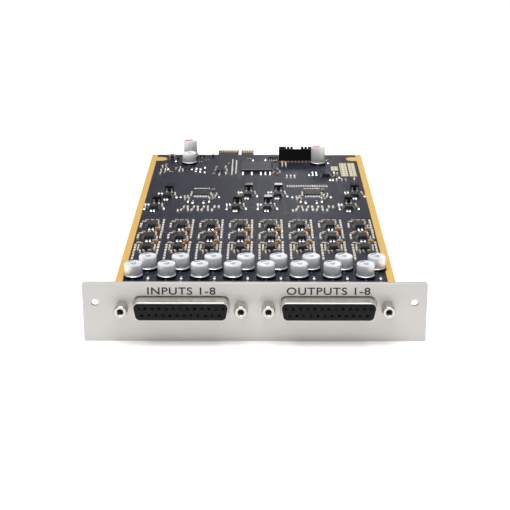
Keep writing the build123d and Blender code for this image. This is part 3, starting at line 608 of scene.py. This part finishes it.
def fillet_of_solder(place, x, width, reach, height, side):
    """A sloped fillet against an end face at x, leaning in towards the chip, and its pad."""
    lean = Matrix.Identity(4)
    lean[0][2] = -side * reach / height
    body = Matrix.Translation((x + side * reach / 2, 0, pad_height + height / 2)) @ lean
    size = Matrix.Diagonal((reach, width, height, 1))
    bmesh.ops.create_cube(solder, size=1, matrix=place @ body @ size)
    block(solder, place, x, 0, 2 * reach + pad_reach, width + pad_margin, pad_height)


def lead_solder(node):
    """Solder under and in front of the foot of every lead in a node."""
    for points in solids_of(node):
        low, high = min(p.z for p in points), max(p.z for p in points)
        foot = middle_of([p for p in points if p.z < low + 1e-5])
        root = middle_of([p for p in points if p.z > high - 1e-5])
        run = Vector((foot.x - root.x, foot.y - root.y))
        angle = math.atan2(run.y, run.x)
        place = Matrix.Translation((foot.x, foot.y, low)) @ Matrix.Rotation(angle, 4, "Z")
        inner = place.inverted()
        local = [inner @ p for p in points]
        toe = max(p.x for p in local)
        width = max(p.y for p in local) - min(p.y for p in local)
        fillet_of_solder(place, toe, width, lead_fillet_reach, lead_fillet_height, 1)


for name in lead_nodes:
    if "capacitor" not in name:
        lead_solder(name)

# ------------------------------------------------------------------ plain chips
# Blocks with tinned ends, each end reflowed to its pad. Resistors are low with a dark glaze,
# filter chips cream, ceramic capacitors taller and tan, tantalums orange-brown, and the
# inductor is grey-black ferrite.

end_metal = Finish("chip_ends", (0.62, 0.60, 0.56), Metallic=0.8, Roughness=0.34)
end_tone = end_metal.place.noise(500, 2)
end_metal.drive("Base Color", end_tone.mixed((0.48, 0.44, 0.38, 1), (0.76, 0.74, 0.70, 1)))
end_metal.drive("Roughness", 0.28 + end_metal.place.noise(4000) * 0.16)


def ceramic_finish(name, dark, light, roughness):
    """A fired surface, clouded between two tones that differ a little from chip to chip."""
    finish = Finish(name, light[:3], Roughness=roughness)
    tone = finish.place.noise(260, 1) * 0.6 + finish.place.noise(5000, 3) * 0.4
    finish.drive("Base Color", tone.mixed(dark, light))
    finish.drive("Roughness", roughness - 0.05 + finish.place.noise(6000) * 0.1)
    return finish


tan = ceramic_finish("tan_ceramic", (0.34, 0.21, 0.11, 1), (0.62, 0.44, 0.27, 1), 0.45)
cream = ceramic_finish("cream_ceramic", (0.42, 0.36, 0.27, 1), (0.66, 0.60, 0.50, 1), 0.4)
glaze = ceramic_finish("resistor_glaze", (0.016, 0.016, 0.02, 1), (0.05, 0.05, 0.06, 1), 0.3)
amber = ceramic_finish("amber_resin", (0.36, 0.15, 0.03, 1), (0.60, 0.28, 0.07, 1), 0.4)
ferrite = ceramic_finish("ferrite", (0.02, 0.02, 0.022, 1), (0.05, 0.05, 0.055, 1), 0.55)


fillet_share = 0.6
body_edge = 0.02 * mm
end_edge = 0.05 * mm


def plain_chips(node, finish, slot, end_length, reach=0.3 * mm, end_lip=0.03 * mm):
    """Bodies and tinned ends where a node's blocks stand, with solder at both ends."""
    bodies, ends = bmesh.new(), bmesh.new()
    for points in solids_of(node):
        low = min(p.z for p in points)
        height = max(p.z for p in points) - low
        foot = [p for p in points if p.z < low + 1e-5]
        centre = middle_of(foot)
        first = foot[0]
        others = sorted(((p - first).length, i) for i, p in enumerate(foot) if i)
        width, length = others[0][0], others[1][0]
        run = foot[others[1][1]] - first
        place = Matrix.Translation(centre) @ Matrix.Rotation(math.atan2(run.y, run.x), 4, "Z")
        block(bodies, place, 0, end_lip, length - end_length, width - 2 * end_lip, height - 2 * end_lip)
        for side in (-1, 1):
            block(ends, place, side * (length - end_length) / 2, 0, end_length, width, height)
            fillet_of_solder(place, side * length / 2, width, reach, height * fillet_share, side)
    for mesh, edge in ((bodies, body_edge), (ends, end_edge)):
        bmesh.ops.bevel(mesh, geom=mesh.edges[:], offset=edge, affect="EDGES", segments=1,
                        profile=0.5, material=-1)
    piece_from(bodies, node + "_bodies", finish, slot, node)
    piece_from(ends, node + "_ends", end_metal, slot)


for name in ("channel_resistors", "relay_resistors", "converter_resistors", "supply_resistors",
             "converter_coupling_resistors"):
    plain_chips(name, glaze, "resistor_black", 0.4 * mm)
plain_chips("converter_terminators", glaze, "resistor_black", 0.28 * mm, 0.1 * mm)
plain_chips("bus_resistors", glaze, "resistor_black", 0.4 * mm, 0.12 * mm)
plain_chips("channel_filter_chips", cream, "white_ceramic", 0.35 * mm, 0.1 * mm)
plain_chips("converter_filter_chips", cream, "white_ceramic", 0.45 * mm, 0.2 * mm)
for name in ("channel_ceramic_capacitors", "relay_ceramic_capacitors", "converter_ceramic_capacitors",
             "supply_ceramic_capacitors"):
    plain_chips(name, tan, "tan_ceramic", 0.34 * mm)
plain_chips("tantalum_capacitors", amber, "orange_moulding", 0.4 * mm)
plain_chips("power_inductor", ferrite, "ferrite", 0.7 * mm)
piece_from(solder, "solder_fillets", solder_metal, "solder")

# ------------------------------------------------------------------ power header
# A black moulded shroud with a key slot, round two rows of square gold-plated pins. The
# pins are soldered through the board.

black_resin.on(node_of["header_shroud"])
gold.on(node_of["header_pins"])
